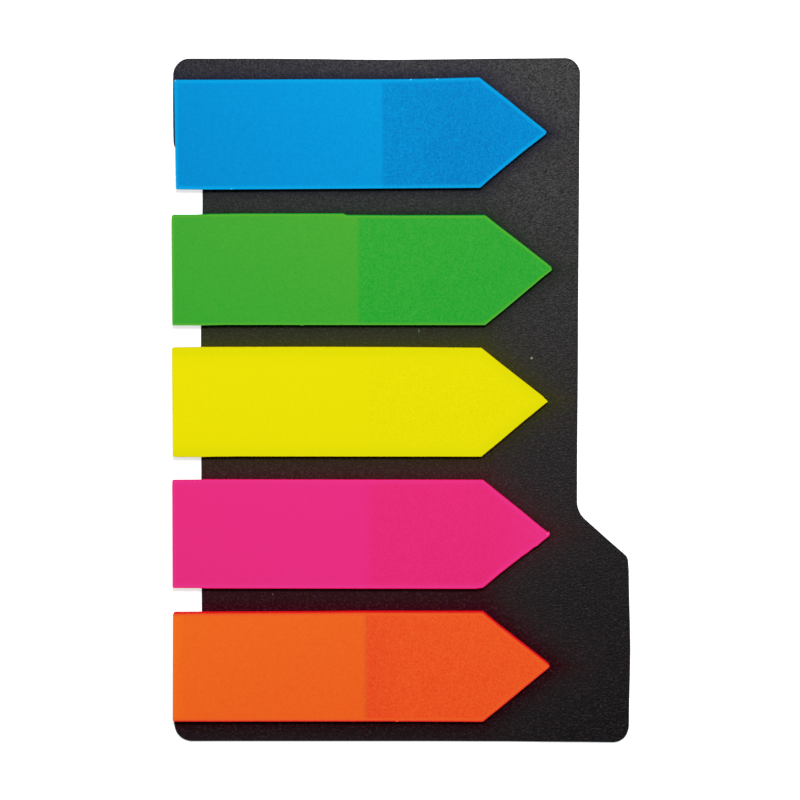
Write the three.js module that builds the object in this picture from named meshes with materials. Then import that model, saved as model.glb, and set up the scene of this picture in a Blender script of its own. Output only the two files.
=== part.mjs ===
import * as THREE from 'three';

// Sticky index tabs: a black die-cut card lying on its back, with five pads of arrow-shaped film tabs on it.
// Millimetres, +Z up. The tabs point along +X, and +Y runs up the card, from the orange pad to the blue one.
// The origin is the centre of the bounding box's bottom face.

// The film tabs
const tabWidth = 12.65;
const tabLength = 43.5; // to the sharp point of the arrow, before it is rounded
const tipLength = 7.8; // from the shoulders of the arrow to its point
const tipRadius = 0.35;
const tabCornerRadius = 0.2;
const padThickness = 1.3;
const tabGap = 2.45; // between one pad and the next

// The card round them
const cardThickness = 0.5;
const topMargin = 2.65;
const bottomMargin = 2.25;
const tipMargin = 2.7; // from the sharp points of the tabs to the card's right edge
const topLeftRadius = 1.8;
const topRightRadius = 1.7;
const bottomLeftRadius = 2.3;

// The recess in the card's left edge, which leaves the rear ends of the tabs free for a finger
const recessDepth = 3.2;
const lobeHeight = 11; // the card left above and below the recess
const lobeRadius = 1.7;
const recessRadius = 1.4;

// The lug at the lower right, with its slanted shoulder
const lugReach = 5.8;
const lugHeight = 21;
const shoulderAngle = 48.3; // degrees, between the slant and the card's upright edge
const shoulderFillet = 2.8;
const lugTopRadius = 1;
const lugBottomRadius = 2;

// How each pad lies: off its place in the column, turned by some degrees, and cut a little short
const pads = [
  { name: 'orange', color: '#ea5523', shiftX: -0.1, shiftY: 0, turn: 0.05, cutShort: 0.3 },
  { name: 'pink', color: '#e72a76', shiftX: -0.15, shiftY: 0, turn: -0.1, cutShort: 0.2 },
  { name: 'yellow', color: '#ebe200', shiftX: -0.15, shiftY: 0, turn: -0.05, cutShort: 0.4 },
  { name: 'green', color: '#3aab33', shiftX: -0.15, shiftY: 0, turn: -0.05, cutShort: 0 },
  { name: 'blue', color: '#0089ce', shiftX: 0.1, shiftY: 0.39, turn: 0.45, cutShort: 0.8 },
];

const tabPitch = tabWidth + tabGap;
const cardWidth = tabLength + tipMargin;
const cardHeight = bottomMargin + (pads.length - 1) * tabPitch + tabWidth + topMargin;
const shoulderRise = lugReach / Math.tan(THREE.MathUtils.degToRad(shoulderAngle));

const arcSegments = 8;

function corner(x, y, radius) {
  return { at: new THREE.Vector2(x, y), radius };
}

// A closed outline through sharp corners, in anticlockwise order, with an arc of its own radius at each.
// An arc takes no more than half of either side that it joins.
function roundedShape(corners) {
  const shape = new THREE.Shape();
  corners.forEach(({ at, radius }, i) => {
    const back = corners.at(i - 1).at.clone().sub(at);
    const ahead = corners[(i + 1) % corners.length].at.clone().sub(at);
    const halfAngle = Math.acos(back.dot(ahead) / (back.length() * ahead.length())) / 2;
    const room = Math.min(back.length(), ahead.length()) / 2;
    const inset = Math.min(radius / Math.tan(halfAngle), room);
    const arcRadius = inset * Math.tan(halfAngle);
    const turnsRight = back.cross(ahead) > 0;
    back.setLength(inset);
    ahead.setLength(inset);
    const toCentre = back.clone().add(ahead).setLength(Math.hypot(inset, arcRadius));
    const centre = at.clone().add(toCentre);
    const startAngle = back.sub(toCentre).angle();
    const endAngle = ahead.sub(toCentre).angle();
    shape.absarc(centre.x, centre.y, arcRadius, startAngle, endAngle, turnsRight);
  });
  shape.closePath();
  return shape;
}

function plate(corners, thickness) {
  return new THREE.ExtrudeGeometry(roundedShape(corners), {
    depth: thickness,
    bevelEnabled: false,
    curveSegments: arcSegments,
  });
}

// The card's outline starts at its lower left corner, which is at x = 0 and y = 0.
function cardGeometry() {
  const lugX = cardWidth + lugReach;
  const recessTop = cardHeight - lobeHeight;
  const corners = [
    corner(0, 0, bottomLeftRadius),
    corner(lugX, 0, lugBottomRadius),
    corner(lugX, lugHeight, lugTopRadius),
    corner(cardWidth, lugHeight + shoulderRise, shoulderFillet),
    corner(cardWidth, cardHeight, topRightRadius),
    corner(0, cardHeight, topLeftRadius),
    corner(0, recessTop, lobeRadius),
    corner(recessDepth, recessTop, recessRadius),
    corner(recessDepth, lobeHeight, recessRadius),
    corner(0, lobeHeight, lobeRadius),
  ];
  return plate(corners, cardThickness);
}

// A pad has its rear end at x = 0 and its point on the X axis.
function padGeometry(length) {
  const shoulder = length - tipLength;
  const half = tabWidth / 2;
  const corners = [
    corner(0, -half, tabCornerRadius),
    corner(shoulder, -half, tabCornerRadius),
    corner(length, 0, tipRadius),
    corner(shoulder, half, tabCornerRadius),
    corner(0, half, tabCornerRadius),
  ];
  return plate(corners, padThickness);
}

function makeCard() {
  const black = new THREE.MeshStandardMaterial({ color: '#332f33', roughness: 0.85, metalness: 0 });
  const card = new THREE.Mesh(cardGeometry(), black);
  card.name = 'backing_card';
  return card;
}

// A pad is a stack of like leaves stuck together by their tip halves, so it is one solid.
function makePad(pad, row) {
  const film = new THREE.MeshStandardMaterial({ color: pad.color, roughness: 0.45, metalness: 0 });
  const mesh = new THREE.Mesh(padGeometry(tabLength - pad.cutShort), film);
  const rowCentre = bottomMargin + tabWidth / 2 + row * tabPitch;
  mesh.name = `tab_pad_${pad.name}`;
  mesh.position.set(pad.shiftX, rowCentre + pad.shiftY, cardThickness);
  mesh.rotation.z = THREE.MathUtils.degToRad(pad.turn);
  return mesh;
}

const tabs = new THREE.Group();
tabs.add(makeCard(), ...pads.map(makePad));

const bounds = new THREE.Box3().setFromObject(tabs);
const middle = bounds.getCenter(new THREE.Vector3());
tabs.position.set(-middle.x, -middle.y, -bounds.min.z);

export default tabs;
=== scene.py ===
import math
import random

import bmesh
import bpy
from mathutils import Matrix, Vector


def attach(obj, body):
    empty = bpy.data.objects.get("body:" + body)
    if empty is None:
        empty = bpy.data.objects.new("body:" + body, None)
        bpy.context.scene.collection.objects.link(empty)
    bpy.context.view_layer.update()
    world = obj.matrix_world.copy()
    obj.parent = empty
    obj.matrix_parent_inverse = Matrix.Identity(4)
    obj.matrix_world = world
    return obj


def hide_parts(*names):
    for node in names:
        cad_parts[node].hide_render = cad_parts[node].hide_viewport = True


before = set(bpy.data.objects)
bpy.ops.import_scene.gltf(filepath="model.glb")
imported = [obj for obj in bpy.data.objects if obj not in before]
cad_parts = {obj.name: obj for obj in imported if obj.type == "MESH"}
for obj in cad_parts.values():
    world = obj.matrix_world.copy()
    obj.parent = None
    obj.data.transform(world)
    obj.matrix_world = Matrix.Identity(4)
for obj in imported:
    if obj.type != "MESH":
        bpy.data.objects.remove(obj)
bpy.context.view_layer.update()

# Sticky index tabs. Lengths named here are in millimetres, and MM turns them into metres.
# Colours from 0 to 255 are sRGB, and colours below 1 are linear.
MM = 0.001

# How a tab is cut: from the shoulders of its arrow to the sharp point, and how the point is rounded
TIP_LENGTH = 7.8
TIP_RADIUS = 0.35

# The stack of film leaves in a pad
LEAVES = 20
LEAF_PITCH = 0.065
LEAF_THICKNESS = 0.058
PAD_TOP = (LEAVES - 1) * LEAF_PITCH + LEAF_THICKNESS

# The furthest that the rim's colour reaches in from the edge of a pad. Its lighter band is a painted
# highlight where the cut edge catches light.
PAINTED_RIM_REACH = 2.5

# The pads, from the top of the card down. Places are from a tab's rear end, heights from its middle line.
# width: of one leaf.
# shift, turn: how the pad lies off the CAD pad's place, the turn in degrees.
# shorter: by how much a leaf is shorter than the CAD pad.
# slant: how far the rear end is cut off square, from its lower to its upper corner.
# lean: how far the lowest leaf lies off the top one, across the tab.
# fan: how far the loose ends stand apart, all leaves together.
# adhesive_from: where the adhesive starts, from which on the leaves are stuck together.
# face: the film's colour along the tab, which changes where the adhesive starts.
# mottle: how much the adhesive's grain, and the painted light that makes the upper side lighter, change each
# of the film's red, green and blue.
# lattice: how much a fine diagonal lattice shows in the lower side of the film.
# rim: the film's colour from the cut edge inwards, with how much of it shows. Its lighter band is a painted
# highlight where the cut edge catches light.
# edge: the colour of the stack's sides.
# rear_inset: how far in the rim starts at the rear end, which shows neither it nor the edge past PAINTED_RIM_REACH.
# glow: painted light, the coloured light that the translucent film throws on the card beside it, added to
# the card's colour.
# dull: how much rougher the card is there.
# flecks: small marks in the film, and on the blue pad three painted glints, as place, height, radius and
# colour.
PADS = {
    "blue": {
        "width": 12.49,
        "shift": (0.125, -0.21),
        "turn": -0.06,
        "shorter": 0.2,
        "slant": -0.13,
        "lean": 0.14,
        "fan": 0.2,
        "adhesive_from": 23.65,
        "face": [
            (0, (0, 140, 208)),
            (12, (0, 145, 213)),
            (23.5, (0, 150, 216)),
            (23.7, (0, 137, 205)),
            (32, (0, 132, 201)),
            (42, (0, 136, 206)),
        ],
        "mottle": (0.0, 0.08, 0.045),
        "lattice": 0.5,
        "rim": [
            (0, (0, 120, 180), 1),
            (0.08, (0, 168, 231), 1),
            (0.2, (0, 166, 229), 0.9),
            (0.55, (0, 158, 223), 0),
        ],
        "edge": (0, 104, 162),
        "rear_inset": 0.06,
        "painted_spill": (0.0, 0.005, 0.021),
        "dull": 0.07,
        "marks_and_glints": [
            # The pale marks at the top-left corner and at 26.9 and 29.9 on the upper edge are painted
            # glints; the others are specks.
            (0.05, 6.2, 0.13, (150, 215, 245)),
            (6.4, -6.2, 0.12, (60, 205, 250)),
            (26.9, 6.2, 0.1, (150, 220, 245)),
            (29.9, 6.2, 0.1, (130, 215, 245)),
            (22.0, 3.4, 0.09, (20, 180, 240)),
            (24.0, 4.3, 0.07, (10, 165, 232)),
        ],
    },
    "green": {
        "width": 12.46,
        "shift": (0.035, -0.09),
        "turn": 0.0,
        "shorter": 0.04,
        "slant": -0.09,
        "lean": 0.15,
        "fan": 0.25,
        "adhesive_from": 21.2,
        "face": [
            (0, (62, 166, 49)),
            (12, (65, 167, 49)),
            (21.1, (69, 168, 49)),
            (21.3, (49, 166, 51)),
            (42, (48, 165, 51)),
        ],
        "mottle": (0.22, 0.022, 0.08),
        "lattice": 0.0,
        "rim": [
            (0, (44, 160, 50), 1),
            (0.07, (93, 178, 45), 1),
            (0.18, (84, 174, 46), 0.9),
            (0.34, (72, 170, 48), 0),
        ],
        "edge": (0, 160, 52),
        "rear_inset": 0.0,
        "painted_spill": (0.0, 0.015, 0.001),
        "dull": 0.08,
        "marks_and_glints": [(19.7, 6.28, 0.12, (150, 225, 60))],
    },
    "yellow": {
        "width": 12.48,
        "shift": (0.09, 0.02),
        "turn": -0.05,
        "shorter": 0.135,
        "slant": -0.135,
        "lean": 0.0,
        "fan": 0.22,
        "adhesive_from": 22.35,
        "face": [
            (0, (235, 225, 0)),
            (22.2, (233, 224, 0)),
            (22.5, (232, 223, 0)),
            (42, (231, 222, 0)),
        ],
        "mottle": (0.013, 0.014, 0.0),
        "lattice": 0.0,
        "rim": [
            (0, (200, 172, 0), 1),
            (0.07, (227, 219, 0), 1),
            (0.25, (223, 218, 0), 0.9),
            (0.75, (224, 219, 0), 0.8),
            (1.4, (227, 221, 0), 0.35),
            (2.4, (230, 223, 0), 0),
        ],
        "edge": (185, 140, 0),
        "rear_inset": 3.0,
        "painted_spill": (0.037, 0.042, 0.0),
        "dull": 0.22,
        "marks_and_glints": [],
    },
    "pink": {
        "width": 12.41,
        "shift": (0.085, 0.04),
        "turn": 0.0,
        "shorter": 0.13,
        "slant": -0.07,
        "lean": -0.05,
        "fan": 0.2,
        "adhesive_from": 22.5,
        "face": [
            (0, (232, 45, 127)),
            (21.4, (232, 45, 130)),
            (23.4, (231, 42, 119)),
            (36, (231, 42, 119)),
            (42, (232, 47, 128)),
        ],
        "mottle": (0.008, 0.05, 0.035),
        "lattice": 0.0,
        "rim": [
            (0, (226, 4, 62), 1),
            (0.08, (236, 31, 115), 1),
            (0.14, (238, 55, 143), 1),
            (0.28, (234, 51, 137), 0.9),
            (0.8, (232, 46, 129), 0),
        ],
        "edge": (215, 10, 52),
        "rear_inset": 0.15,
        "painted_spill": (0.040, 0.001, 0.006),
        "dull": 0.16,
        "marks_and_glints": [
            (42.72, 0.05, 0.13, (246, 120, 178)),
            (42.92, 0.27, 0.07, (240, 130, 180)),
            (41.58, -1.36, 0.13, (238, 110, 150)),
            (41.95, -1.1, 0.1, (240, 100, 140)),
        ],
    },
    "orange": {
        "width": 12.5,
        "shift": (0.1, -0.025),
        "turn": 0.0,
        "shorter": 0.125,
        "slant": 0.04,
        "lean": 0.075,
        "fan": 0.25,
        "adhesive_from": 22.0,
        "face": [
            (0, (243, 109, 26)),
            (1.4, (241, 102, 31)),
            (12, (240, 100, 31)),
            (21.6, (240, 98, 31)),
            (21.9, (228, 94, 33)),
            (22.1, (236, 80, 34)),
            (23.6, (236, 81, 34)),
            (26, (238, 84, 34)),
            (42, (238, 86, 33)),
        ],
        "mottle": (0.010, 0.10, 0.09),
        "lattice": 0.0,
        "rim": [
            (0, (224, 14, 26), 1),
            (0.08, (231, 44, 33), 1),
            (0.15, (236, 78, 38), 1),
            (0.22, (238, 94, 38), 1),
            (0.32, (238, 97, 35), 0.8),
            (0.46, (238, 98, 34), 0),
        ],
        "edge": (238, 14, 22),
        "rear_inset": 3.0,
        "painted_spill": (0.036, 0.0, 0.006),
        "dull": 0.65,
        "marks_and_glints": [(25.5, -6.2, 0.14, (248, 90, 62))],
    },
}

# How far out a pad's upper and lower edges are cut from their straight lines, at places along them
UNEVEN_CUTS = {
    "blue": (
        [
            *((0, 0.03), (8, 0.0), (16, 0.0), (23, -0.06), (28, -0.05)),
            *((35.5, 0.08), (37.4, 0.1), (39.7, 0.03), (42, -0.02)),
        ],
        [(0, -0.05), (3, 0.0), (34.4, 0.0), (36.2, -0.11), (39.5, -0.14), (42.6, -0.03)],
    ),
    "green": (
        [
            *((2.5, 0.0), (4.2, 0.09), (8, 0.14), (19.5, 0.16), (19.8, -0.01)),
            *((26, -0.04), (34.6, -0.02), (37.4, 0.02), (39.7, 0.09), (42, 0.13)),
        ],
        [
            *((3, 0.09), (6, 0.02), (14.5, 0.02), (14.8, 0.09), (15.1, 0.02)),
            *((34.6, 0.02), (37.4, 0.0), (39.7, -0.08), (42, -0.19)),
        ],
    ),
    "yellow": (
        [
            *((0, -0.07), (3, -0.02), (6, 0.0), (17, 0.03), (26, 0.02)),
            *((37.4, -0.05), (39.7, 0.0), (42, 0.06)),
        ],
        [(3, 0.07), (4.5, 0.02), (8, -0.01), (34.6, -0.03), (37.4, -0.09), (39.7, -0.2), (42, -0.24)],
    ),
    "pink": (
        [
            *((0, -0.02), (3, 0.0), (3.8, 0.05), (34.6, 0.05), (36.5, 0.01), (39.7, 0.01)),
            *((42, -0.06), (42.72, -0.05), (42.93, 0.17)),
        ],
        [
            *((3, -0.06), (3.8, -0.01), (34.4, -0.01), (35.6, -0.15), (37.4, -0.22), (39.8, -0.19)),
            *((40.5, -0.1), (41.1, -0.13), (41.6, -0.01), (42, -0.05)),
        ],
    ),
    "orange": (
        [(0, -0.08), (6, -0.055), (17, -0.035), (20, 0.0), (34.6, -0.025), (37.4, -0.06), (42, 0.04)],
        [
            *((0, -0.07), (6, -0.05), (25.2, -0.035), (25.5, 0.02), (25.8, -0.03)),
            *((34.6, 0.015), (37.4, 0.015), (39.7, -0.04), (42, -0.08)),
        ],
    ),
}

# The share of a mark's radius within which it has its full colour
MARK_CORE = 0.4


def linear(colour):
    """An sRGB colour, 0 to 255, as the linear colour that a shader takes."""
    parts = [part / 255 for part in colour]
    return (*(p / 12.92 if p <= 0.04045 else ((p + 0.055) / 1.055) ** 2.4 for p in parts), 1.0)


class Finish:
    """A material in the making. Each call adds a node and returns the socket that it gives."""

    def __init__(self, name):
        self.material = bpy.data.materials.new(name)
        self.material.use_nodes = True
        self.material.node_tree.nodes.clear()

    def add(self, kind, inputs=None, output=0, **settings):
        node = self.material.node_tree.nodes.new(kind)
        for setting, value in settings.items():
            setattr(node, setting, value)
        for socket, value in (inputs or {}).items():
            if isinstance(value, bpy.types.NodeSocket):
                self.material.node_tree.links.new(value, node.inputs[socket])
            else:
                node.inputs[socket].default_value = value
        return node.outputs[output] if node.outputs else None

    def math(self, operation, a, b=0.0, c=0.0, clamp=False):
        return self.add("ShaderNodeMath", {0: a, 1: b, 2: c}, operation=operation, use_clamp=clamp)

    def millimetres(self, place=None):
        """Object coordinates in millimetres, in the frame of a pad at that place or of the whole part."""
        place = place or Matrix.Identity(4)
        coordinates = self.add("ShaderNodeTexCoord", output=3)
        inputs = {
            "Vector": coordinates,
            "Location": place.translation,
            "Rotation": place.to_euler(),
            "Scale": (MM, MM, MM),
        }
        return self.add("ShaderNodeMapping", inputs, vector_type="TEXTURE")

    def stretched(self, at, size, turn=0.0):
        """Coordinates that stretch a pattern along each axis by its size, and turn it by some degrees."""
        inputs = {"Vector": at, "Rotation": (0, 0, math.radians(turn)), "Scale": size}
        return self.add("ShaderNodeMapping", inputs, vector_type="TEXTURE")

    def noise(self, at, scale, detail=2.0, roughness=0.5):
        inputs = {"Vector": at, "Scale": scale, "Detail": detail, "Roughness": roughness}
        return self.add("ShaderNodeTexNoise", inputs)

    def spread(self, value, low, high, start=0.0, end=1.0):
        """The value's range from low to high, mapped on the range from start to end and held there."""
        inputs = {"Value": value, "From Min": low, "From Max": high, "To Min": start, "To Max": end}
        return self.add("ShaderNodeMapRange", inputs)

    def mix(self, factor, a, b, blend="MIX"):
        inputs = {0: factor, 6: a, 7: b}
        return self.add("ShaderNodeMix", inputs, 2, data_type="RGBA", blend_type=blend)

    def ramp(self, value, stops):
        """A ramp through (position, colour, share) stops, of which the share may be left out. Gives both."""
        colour = self.add("ShaderNodeValToRGB", {0: value})
        elements = colour.node.color_ramp.elements
        while len(elements) < len(stops):
            elements.new(1.0)
        for element, (position, tone, *share) in zip(elements, stops):
            element.position = position
            element.color = (*linear(tone)[:3], *(share or [1.0]))
        return colour, colour.node.outputs[1]

    def marked(self, tone, at, place, radius, mark):
        """The tone with a small soft round mark of another colour at a place."""
        distance = self.add("ShaderNodeVectorMath", {0: at, 1: place}, 1, operation="DISTANCE")
        return self.mix(self.spread(distance, radius, radius * MARK_CORE), tone, linear(mark))

    def axes(self, at):
        parts = self.add("ShaderNodeSeparateXYZ", {0: at}).node
        return parts.outputs[0], parts.outputs[1], parts.outputs[2]

    def inset(self, at, length, width, rear=0.0):
        """How far inside a pad's outline a point lies, in the pad's own frame. It is less than 0 outside.

        The rear end counts as this much further out."""
        x, y, _ = self.axes(at)
        half = width / 2
        slant = math.hypot(half, TIP_LENGTH)
        aside = self.math("ABSOLUTE", y)
        from_side = self.math("SUBTRACT", half, aside)
        to_tip = self.math("SUBTRACT", length, x)
        reach = self.math("MULTIPLY", to_tip, half / slant)
        from_slope = self.math("MULTIPLY_ADD", aside, -TIP_LENGTH / slant, reach)
        from_edge = self.math("MINIMUM", from_side, from_slope)
        return self.math("MINIMUM", from_edge, self.math("ADD", x, rear))

    def surface(self, inputs):
        """The material, with these inputs on its shader."""
        shader = self.add("ShaderNodeBsdfPrincipled", inputs)
        self.add("ShaderNodeOutputMaterial", {"Surface": shader})
        return self.material


def finished(name, shape, material, node):
    """An object made from a bmesh, in place of a CAD node."""
    mesh = bpy.data.meshes.new(name)
    shape.to_mesh(mesh)
    shape.free()
    mesh.materials.append(material)
    piece = bpy.data.objects.new(name, mesh)
    bpy.context.scene.collection.objects.link(piece)
    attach(piece, "root")
    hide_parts(node)
    return piece


# Tolerances
SAME_POINT = 0.001
SAME_HEIGHT = 0.01
SAME_FACE = 0.5  # degrees between two faces that are one
ON_CUT = 0.0001


def top_outline(node):
    """The flat top of a CAD node as one face, from a merged copy of its triangles."""
    shape = bmesh.new()
    shape.from_mesh(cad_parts[node].data)
    bmesh.ops.remove_doubles(shape, verts=shape.verts, dist=SAME_POINT * MM)
    top = max(vert.co.z for vert in shape.verts)
    lower = [vert for vert in shape.verts if vert.co.z < top - SAME_HEIGHT * MM]
    bmesh.ops.delete(shape, geom=lower, context="VERTS")
    angle = math.radians(SAME_FACE)
    bmesh.ops.dissolve_limit(shape, angle_limit=angle, verts=shape.verts, edges=shape.edges)
    return shape


def cut_across(shape, axis, places):
    """Cuts a flat shape along lines across an axis, at these places on it in millimetres."""
    for place in places:
        point = axis * (place * MM)
        geometry = shape.verts[:] + shape.edges[:] + shape.faces[:]
        bmesh.ops.bisect_plane(shape, geom=geometry, dist=ON_CUT * MM, plane_co=point, plane_no=axis)


def eased(value, points):
    """The height at a value of a smooth line through (place, height) points, level beyond its ends."""
    for (x0, y0), (x1, y1) in zip(points, points[1:]):
        if value <= x1:
            share = min(max((value - x0) / (x1 - x0), 0.0), 1.0)
            return y0 + (y1 - y0) * share * share * (3 - 2 * share)
    return points[-1][1]


# The camera, straight above the card
CAMERA_PLACE = (-0.07, 0.0, 400.5)
CAMERA_LENS = 157.5
CAMERA_SENSOR = 36
CAMERA_CLIP = (10, 20000)

camera_data = bpy.data.cameras.new("camera")
camera_data.sensor_width = CAMERA_SENSOR
camera_data.lens = CAMERA_LENS
camera_data.clip_start = CAMERA_CLIP[0] * MM
camera_data.clip_end = CAMERA_CLIP[1] * MM
camera = bpy.data.objects.new("camera", camera_data)
camera.location = Vector(CAMERA_PLACE) * MM
bpy.context.scene.collection.objects.link(camera)
bpy.context.scene.camera = camera
bpy.context.scene.view_settings.view_transform = "Standard"

# The backing card
CARD_THICKNESS = 0.5
CRUSHED_EDGE = 0.12  # the width of the rim that the die crushed
EDGE_DROP = 0.05

# The card's colours
TINT_SPAN = (0.0090, 0.0080, 0.0090)  # how far the tint varies in each channel
TINT_START = (-0.0054, -0.0081, -0.0068)
GRAIN_TONE = (0.0225, 0.0203, 0.0212, 1)  # added at the peaks of the grain
FIBRE_TONE = (0.0155, 0.0135, 0.0145, 1)
CUT_EDGE_TONE = (0.045, 0.060, 0.070, 1)

# The layers of fibres in the card, each as its turn in degrees and its coarseness
FIBRE_LAYERS = ((15, 1.0), (75, 1.2), (128, 0.9), (160, 1.1))
FIBRE_SIZE = (0.9, 0.16)
FIBRE_RELIEF = 0.5

# The card's sheen
CARD_ROUGHNESS = (0.372, 0.328)  # from the valleys of the grain to its peaks
ROUGHNESS_DRIFT = 0.01
CARD_SPECULAR = 0.085

# What a pad changes on the card beside it: painted spilt light of its colour, and the card's roughness
PAINTED_SPILL_REACH = 1.6
# Painted shade: the painted spilt light is weaker at the pad's lower side, away from the light.
PAINTED_SPILL_SHADED = 0.4  # the share of the glow that is left at the pad's lower side
AGAINST_PAD = 0.17  # how much rougher the card is close against the pad

# Pale specks caught in the card, as place, radius and colour
SPECKS = [
    ((14.98, 4.79), 0.17, (150, 150, 124)),
    ((2.09, 8.03), 0.11, (84, 110, 82)),
    ((2.09, 7.84), 0.11, (84, 110, 82)),
    ((-14.61, -22.2), 0.13, (92, 72, 76)),
]

# How far out each side of the card is cut from its straight line, at places along it
TOP_SIDE = [
    *((-26, -0.03), (-24.3, 0.05), (-16, 0.05), (-9, 0.01), (-4.5, -0.07), (0, -0.08)),
    *((5, -0.02), (9, 0.03), (14, 0.07), (20, 0.13)),
]
BOTTOM_SIDE = [
    *((-26, -0.02), (-24.8, 0.05), (-23, 0.02), (2, 0.02)),
    *((12, 0.05), (18, 0.11), (22, 0.13), (25, 0.18)),
]
LEFT_SIDE = [
    *((-38.3, 0.1), (-37.1, 0.0), (-34, -0.02), (-24, 0.0), (-22, 0.02), (-8.5, 0.05), (-6, 0.09)),
    *((8, 0.1), (20, -0.05), (24, -0.09), (28, 0.0), (31, 0.08), (34, 0.1), (38, 0.08)),
]
RIGHT_SIDE = [
    *((-38.5, 0.1), (-37.6, 0.02), (-36, 0.04), (-28.6, 0.19), (-21, 0.04), (-19, 0.0)),
    *((-18.2, -0.08), (-16, -0.12), (-9, -0.1), (7, 0.01), (28, 0.14), (37, 0.24), (38.6, 0.17)),
]

# Where the card is cut into strips so that its sides can bend, and past which lines a point is on a side
STRIPS_ACROSS = [3 * step - 37.5 for step in range(26)]
STRIPS_ALONG = [3 * step - 24 for step in range(17)]
TOP_FROM = 35
BOTTOM_FROM = -35
LEFT_FROM = -20
RIGHT_FROM = 16


def card_finish(places):
    """Black card dyed through, with a fine grain, pale fibres and a dull sheen, and the pads' colours
    painted on it beside them as spilt light.
    """
    card = Finish("black_card")
    at = card.millimetres()
    grain = card.noise(card.stretched(at, (1.25, 1.0, 1.0)), 4.4, 2.0, 0.6)
    tint = card.add("ShaderNodeTexNoise", {"Vector": at, "Scale": 1.2, "Detail": 3.0}, 1)
    inputs = {0: tint, 1: TINT_SPAN, 2: TINT_START}
    tone = card.add("ShaderNodeVectorMath", inputs, operation="MULTIPLY_ADD")
    tone = card.mix(card.spread(grain, 0.5, 0.76), tone, GRAIN_TONE, "ADD")
    relief = grain
    for turn, size in FIBRE_LAYERS:
        stretch = (FIBRE_SIZE[0] * size, FIBRE_SIZE[1], 1.0)
        thread = card.noise(card.stretched(at, stretch, turn), 1.6, 1.0)
        hair = card.spread(thread, 0.64, 0.78)
        tone = card.mix(hair, tone, FIBRE_TONE)
        relief = card.math("MULTIPLY_ADD", hair, FIBRE_RELIEF, relief)
    for place, radius, speck in SPECKS:
        tone = card.marked(tone, at, (*place, CARD_THICKNESS), radius, speck)
    drift = card.spread(card.noise(at, 0.8, 3.0), 0.3, 0.7, -ROUGHNESS_DRIFT, ROUGHNESS_DRIFT)
    roughness = card.math("ADD", card.spread(grain, 0.3, 0.7, *CARD_ROUGHNESS), drift)
    for colour, place, length in places:
        pad = PADS[colour]
        half = pad["width"] / 2
        at_pad = card.millimetres(place)
        away = card.math("MINIMUM", card.inset(at_pad, length, pad["width"]), 0.0)
        beside = card.math("POWER", math.e, card.math("MULTIPLY", away, 1 / PAINTED_SPILL_REACH))
        _, height, _ = card.axes(at_pad)
        # Painted light: each pad's colour added to the card beside it as spilt light, weaker on the pad's
        # lower, shaded side.
        painted_lit_side = card.spread(height, -half, half, PAINTED_SPILL_SHADED, 1.0)
        tone = card.mix(card.math("MULTIPLY", beside, painted_lit_side), tone, (*pad["painted_spill"], 1), "ADD")
        roughness = card.math("MULTIPLY_ADD", beside, pad["dull"], roughness)
        against = card.math("POWER", beside, 4.0)
        roughness = card.math("MULTIPLY_ADD", against, AGAINST_PAD, roughness)
    rim = card.add("ShaderNodeAttribute", output=2, attribute_name="inset")
    tone = card.mix(card.spread(rim, 0.02, CRUSHED_EDGE, 1.0, 0.0), tone, CUT_EDGE_TONE)
    bump = card.add("ShaderNodeBump", {"Strength": 0.5, "Distance": 0.04 * MM, "Height": relief})
    inputs = {
        "Base Color": tone,
        "Roughness": roughness,
        "Specular IOR Level": CARD_SPECULAR,
        "Normal": bump,
    }
    return card.surface(inputs)


def ring_inside(shape, width):
    """Insets a flat outline by a ring, and keeps how far inside it each vertex lies, in millimetres."""
    inset = shape.verts.layers.float.new("inset")
    bmesh.ops.inset_region(
        shape, faces=shape.faces[:], thickness=width * MM, use_even_offset=True, use_boundary=True
    )
    for vert in shape.verts:
        vert[inset] = 0.0 if vert.is_boundary else width


def make_card(places):
    """The card, from the CAD card's outline, with a crushed rim and unevenly cut sides."""
    shape = top_outline("backing_card")
    ring_inside(shape, CRUSHED_EDGE)
    for vert in shape.verts:
        if vert.is_boundary:
            vert.co.z -= EDGE_DROP * MM
    cut_across(shape, Vector((0, 1, 0)), STRIPS_ACROSS)
    cut_across(shape, Vector((1, 0, 0)), STRIPS_ALONG)
    for vert in shape.verts:
        x, y = vert.co.x / MM, vert.co.y / MM
        if y > TOP_FROM:
            vert.co.y += eased(x, TOP_SIDE) * MM
        if y < BOTTOM_FROM:
            vert.co.y -= eased(x, BOTTOM_SIDE) * MM
        if x < LEFT_FROM:
            vert.co.x -= eased(y, LEFT_SIDE) * MM
        if x > RIGHT_FROM:
            vert.co.x += eased(y, RIGHT_SIDE) * MM
    made = bmesh.ops.extrude_face_region(shape, geom=shape.faces[:])
    for vert in made["geom"]:
        if isinstance(vert, bmesh.types.BMVert):
            vert.co.z = CARD_THICKNESS * MM - vert.co.z
    bmesh.ops.recalc_face_normals(shape, faces=shape.faces)
    return finished("card", shape, card_finish(places), "backing_card")


def lie_of(outline):
    """Where a CAD pad lies, and how long it is to the sharp point of its arrow.

    The place is a matrix with its origin at the middle of the pad's rear end and +X towards the tip."""
    middle = outline.faces[:][0].calc_center_median_weighted()
    tip = max(outline.verts, key=lambda vert: vert.co.x).co
    along = (tip - middle).normalized()
    across = Vector((-along.y, along.x, 0))
    rear = min((vert.co - middle).dot(along) for vert in outline.verts)
    half = max((vert.co - middle).dot(across) for vert in outline.verts) / MM
    origin = middle + along * rear
    place = Matrix.Rotation(math.atan2(along.y, along.x), 4, "Z")
    place.translation = (origin.x, origin.y, CARD_THICKNESS * MM)
    rounded_off = TIP_RADIUS * (math.hypot(half, TIP_LENGTH) / half - 1)
    return place, (tip - origin).length / MM + rounded_off


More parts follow.
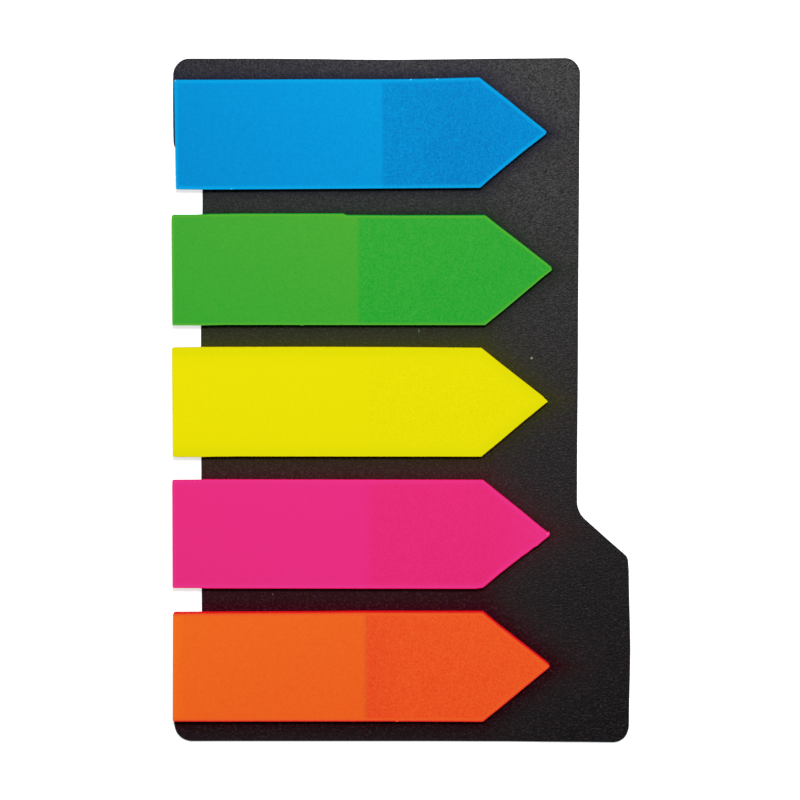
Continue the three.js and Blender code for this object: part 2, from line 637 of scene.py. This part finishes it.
def set_off(colour, place, length):
    """The same for the film pad, which lies a little off the CAD pad and is a little shorter."""
    pad = PADS[colour]
    x, y = pad["shift"]
    offset = Matrix.Translation((x * MM, y * MM, 0))
    turn = Matrix.Rotation(math.radians(pad["turn"]), 4, "Z")
    return place @ offset @ turn, length - pad["shorter"]


# The film's surface
FILM_ROUGHNESS = 0.5
FILM_SPECULAR = 0.012
ADHESIVE_EDGE = 0.2  # over what width the adhesive's grain comes in
ADHESIVE_WAVER = 0.16  # how far the adhesive's edge wavers
LOOSE_GRAIN = 0.4  # the share of the grain that shows on the loose half
LATTICE_TURNS = 14.0  # radians a millimetre
# Painted light: the film is lighter at its upper side, where the light falls, and darker at its lower side.
PAINTED_LIGHT_ACROSS = 1.2  # how much deeper the film is at its lower side than at its upper side


def film_grain_and_painted_light(film, pad, at, along):
    """How uneven the film is, around 0, with painted light that makes its upper side lighter, and the
    adhesive's fine grain alone.

    The grain shows through on the tip half, and only faintly on the loose half."""
    x, y, _ = film.axes(at)
    grain = film.noise(film.stretched(at, (1.0, 1.15, 1.0)), 4.8, 2.0, 0.6)
    blotch = film.noise(film.stretched(at, (0.6, 1.4, 1.0)), 1.3, 2.0)
    fine = film.spread(grain, 0.3, 0.7, -3.0, 3.0)
    coarse = film.spread(blotch, 0.3, 0.7, -0.7, 0.7)
    rising = film.math("SINE", film.math("MULTIPLY", film.math("ADD", x, y), LATTICE_TURNS))
    falling = film.math("SINE", film.math("MULTIPLY", film.math("SUBTRACT", x, y), LATTICE_TURNS))
    low_side = film.spread(y, 2.0, -3.0, 0.0, pad["lattice"])
    pattern = film.math("ADD", fine, coarse)
    pattern = film.math("MULTIPLY_ADD", film.math("MULTIPLY", rising, falling), low_side, pattern)
    held = film.spread(along, pad["adhesive_from"], pad["adhesive_from"] + ADHESIVE_EDGE)
    pattern = film.math("MULTIPLY", pattern, film.spread(held, 0.0, 1.0, LOOSE_GRAIN, 1.0))
    # Painted light: lighter towards the upper side, where the light falls.
    pattern = film.math("MULTIPLY_ADD", y, PAINTED_LIGHT_ACROSS / pad["width"], pattern)
    return pattern, grain


def film_finish(colour, length):
    """Matt translucent film, deeper in colour where the adhesive holds it, with a rim of another tone. The
    rim's lighter band is a painted edge highlight, the upper side is painted lighter, and a few marks are
    painted glints.
    """
    pad = PADS[colour]
    film = Finish(f"{colour}_film")
    at = film.add("ShaderNodeAttribute", output=1, attribute_name="lie")
    x, _, height = film.axes(at)
    waver = film.noise(film.stretched(at, (1.0, 1.0, 50.0)), 0.9, 2.0)
    along = film.math("MULTIPLY_ADD", waver, ADHESIVE_WAVER, film.math("SUBTRACT", x, ADHESIVE_WAVER / 2))
    stops = [(mark / length, tone) for mark, tone in pad["face"]]
    face, _ = film.ramp(film.math("DIVIDE", along, length), stops)
    pattern, grain = film_grain_and_painted_light(film, pad, at, along)
    inputs = {0: pad["mottle"], 1: pattern, 2: (1.0, 1.0, 1.0)}
    levels = film.add("ShaderNodeVectorMath", inputs, operation="MULTIPLY_ADD")
    face = film.mix(1.0, face, levels, "MULTIPLY")

    # The rim along the cut edge, a little uneven. Its lighter band is a painted highlight where the edge
    # catches light.
    inset = film.inset(at, length, pad["width"], pad["rear_inset"])
    uneven = film.spread(film.noise(at, 1.6, 3.0), 0.3, 0.7, 0.7, 1.0)
    stops = [(reach / PAINTED_RIM_REACH, tone, share) for reach, tone, share in pad["rim"]]
    rim, strength = film.ramp(film.math("DIVIDE", inset, PAINTED_RIM_REACH), stops)
    face = film.mix(film.math("MULTIPLY", strength, uneven), face, rim)

    # The sides of the stack, and the lower leaves where they stand out from under the top one
    next_top = PAD_TOP - LEAF_PITCH
    side = film.spread(height, next_top + 0.004, next_top)
    if pad["rear_inset"] > PAINTED_RIM_REACH:
        side = film.math("MULTIPLY", side, film.spread(x, 0.05, 0.3))
    face = film.mix(side, face, linear(pad["edge"]))
    # Small marks in the film, some of them painted glints
    for *place, radius, tone in pad["marks_and_glints"]:
        face = film.marked(face, at, (*place, PAD_TOP), radius, tone)
    bump = film.add("ShaderNodeBump", {"Strength": 0.25, "Distance": 0.01 * MM, "Height": grain})
    inputs = {
        "Base Color": face,
        "Roughness": FILM_ROUGHNESS,
        "Specular IOR Level": FILM_SPECULAR,
        "Normal": bump,
    }
    return film.surface(inputs)


# How the leaves lie in a stack
BENDS = 6  # in a leaf's loose half
SLIP_ALONG = 0.012
SLIP_ACROSS = 0.008
SLIP_TURN = 0.02  # degrees
NEAT_PART = 1 / 6  # the top part of the stack, in which the leaves slip less and less


def cut_leaf(colour, outline, length):
    """One leaf of film, as a thin closed sheet in its own frame, from the CAD pad's outline in that frame.

    Each vertex keeps its place on a straight-cut leaf, in millimetres."""
    pad = PADS[colour]
    half = pad["width"] / 2 * MM
    cad_half = max(vert.co.y for vert in outline.verts)
    shortened = 1 - pad["shorter"] / length
    for vert in outline.verts:
        x, y, _ = vert.co
        slanted = pad["slant"] * MM * y / (2 * half) * (1 - x / (length * MM))
        vert.co = (x * shortened + slanted, y * half / cad_half, 0)
    upper_cut, lower_cut = UNEVEN_CUTS[colour]
    bends = [pad["adhesive_from"] * step / BENDS for step in range(1, BENDS + 1)]
    marks = [*bends, *(mark for mark, _ in (*upper_cut, *lower_cut))]
    cut_across(outline, Vector((1, 0, 0)), sorted(set(marks)))
    made = bmesh.ops.extrude_face_region(outline, geom=outline.faces[:])
    upper = [item for item in made["geom"] if isinstance(item, bmesh.types.BMVert)]
    bmesh.ops.translate(outline, verts=upper, vec=(0, 0, LEAF_THICKNESS * MM))
    bmesh.ops.recalc_face_normals(outline, faces=outline.faces)
    lie = outline.verts.layers.float_vector.new("lie")
    for vert in outline.verts:
        vert[lie] = vert.co / MM
        along = vert.co.x / MM
        vert.co.y += MM * (eased(along, upper_cut) if vert.co.y > 0 else -eased(along, lower_cut))
    leaf = bpy.data.meshes.new("leaf")
    outline.to_mesh(leaf)
    outline.free()
    return leaf


def make_pad(colour, leaf, place, length, dice):
    """A pad of film leaves, stuck together by their tip halves. Their loose ends stand a little apart."""
    pad = PADS[colour]
    loose = pad["adhesive_from"] * MM
    stack = bmesh.new()
    for number in range(LEAVES):
        stack.from_mesh(leaf)
        lie = stack.verts.layers.float_vector["lie"]
        verts = stack.verts[-len(leaf.vertices):]
        down = 1 - number / (LEAVES - 1)
        slack = min(1.0, down / NEAT_PART)
        slip_along = dice.gauss(0, SLIP_ALONG) * slack
        slip_across = dice.gauss(0, SLIP_ACROSS) * slack + pad["lean"] * down
        turn = Matrix.Rotation(math.radians(dice.gauss(0, SLIP_TURN)) * slack, 3, "Z")
        slip = Vector((slip_along, slip_across, number * LEAF_PITCH))
        bmesh.ops.rotate(stack, verts=verts, cent=(loose, 0, 0), matrix=turn)
        bmesh.ops.translate(stack, verts=verts, vec=slip * MM)
        for vert in verts:
            open_share = max(0.0, 1 - vert.co.x / loose)
            vert.co.z += pad["fan"] * MM * (1 - down) * open_share * open_share
            vert[lie] += Vector((0, 0, number * LEAF_PITCH))
    bpy.data.meshes.remove(leaf)
    bmesh.ops.transform(stack, matrix=place, verts=stack.verts)
    finish = film_finish(colour, length)
    return finished(f"{colour}_pad", stack, finish, f"tab_pad_{colour}")


def make_pads():
    """All the pads. Returns each one's colour, place and length, for the card under them."""
    dice = random.Random(7)
    places = []
    for colour in PADS:
        outline = top_outline(f"tab_pad_{colour}")
        cad_place, cad_length = lie_of(outline)
        bmesh.ops.transform(outline, matrix=cad_place.inverted(), verts=outline.verts)
        place, length = set_off(colour, cad_place, cad_length)
        make_pad(colour, cut_leaf(colour, outline, cad_length), place, length, dice)
        places.append((colour, place, length))
    return places


make_card(make_pads())

# The floor, which turns up into a wall far out and lies just under the card, and the light
FLOOR_RADIUS = 2000
WALL_HEIGHT = 1200
FLOOR_DROP = 0.02
FLOOR_TONE = 0.8
FLOOR_LIFT = 0.65
WORLD_LEVEL = 0.25
KEY_PLACE = (20, 100, 420)
KEY_SIZE = (60, 70)
KEY_POWER = 1.5


def floor_finish():
    """Pale paper. What the camera, gloss and glass see of it is lifted to white, and it keeps shadows."""
    paper = Finish("floor_paper")
    seen = paper.add("ShaderNodeLightPath").node.outputs
    lifted = paper.math("ADD", seen["Is Camera Ray"], seen["Is Glossy Ray"])
    lifted = paper.math("ADD", lifted, seen["Is Transmission Ray"], clamp=True)
    strength = paper.math("MULTIPLY", lifted, FLOOR_LIFT)
    inputs = {
        "Base Color": (FLOOR_TONE, FLOOR_TONE, FLOOR_TONE, 1),
        "Roughness": 1.0,
        "Specular IOR Level": 0.0,
        "Emission Color": (1, 1, 1, 1),
        "Emission Strength": strength,
    }
    return paper.surface(inputs)


def make_floor():
    """A round floor with a wall far out, so that low views see it all round."""
    shape = bmesh.new()
    bmesh.ops.create_circle(shape, cap_ends=True, segments=96, radius=FLOOR_RADIUS * MM)
    walls = [edge for edge in shape.edges if edge.is_boundary]
    raised = bmesh.ops.extrude_edge_only(shape, edges=walls)
    upper = [item for item in raised["geom"] if isinstance(item, bmesh.types.BMVert)]
    bmesh.ops.translate(shape, verts=upper, vec=(0, 0, WALL_HEIGHT * MM))
    bmesh.ops.translate(shape, verts=shape.verts, vec=(0, 0, -FLOOR_DROP * MM))
    mesh = bpy.data.meshes.new("floor")
    shape.to_mesh(mesh)
    shape.free()
    mesh.materials.append(floor_finish())
    floor = bpy.data.objects.new("floor", mesh)
    bpy.context.scene.collection.objects.link(floor)


make_floor()

world = bpy.data.worlds.new("studio")
world.use_nodes = True
world.node_tree.nodes["Background"].inputs["Color"].default_value = (1, 1, 1, 1)
world.node_tree.nodes["Background"].inputs["Strength"].default_value = WORLD_LEVEL
bpy.context.scene.world = world

key_data = bpy.data.lights.new("key", "AREA")
key_data.shape = "RECTANGLE"
key_data.size = KEY_SIZE[0] * MM
key_data.size_y = KEY_SIZE[1] * MM
key_data.energy = KEY_POWER
key = bpy.data.objects.new("key", key_data)
key.location = Vector(KEY_PLACE) * MM
key.rotation_euler = Vector(KEY_PLACE).to_track_quat("Z", "Y").to_euler()
bpy.context.scene.collection.objects.link(key)
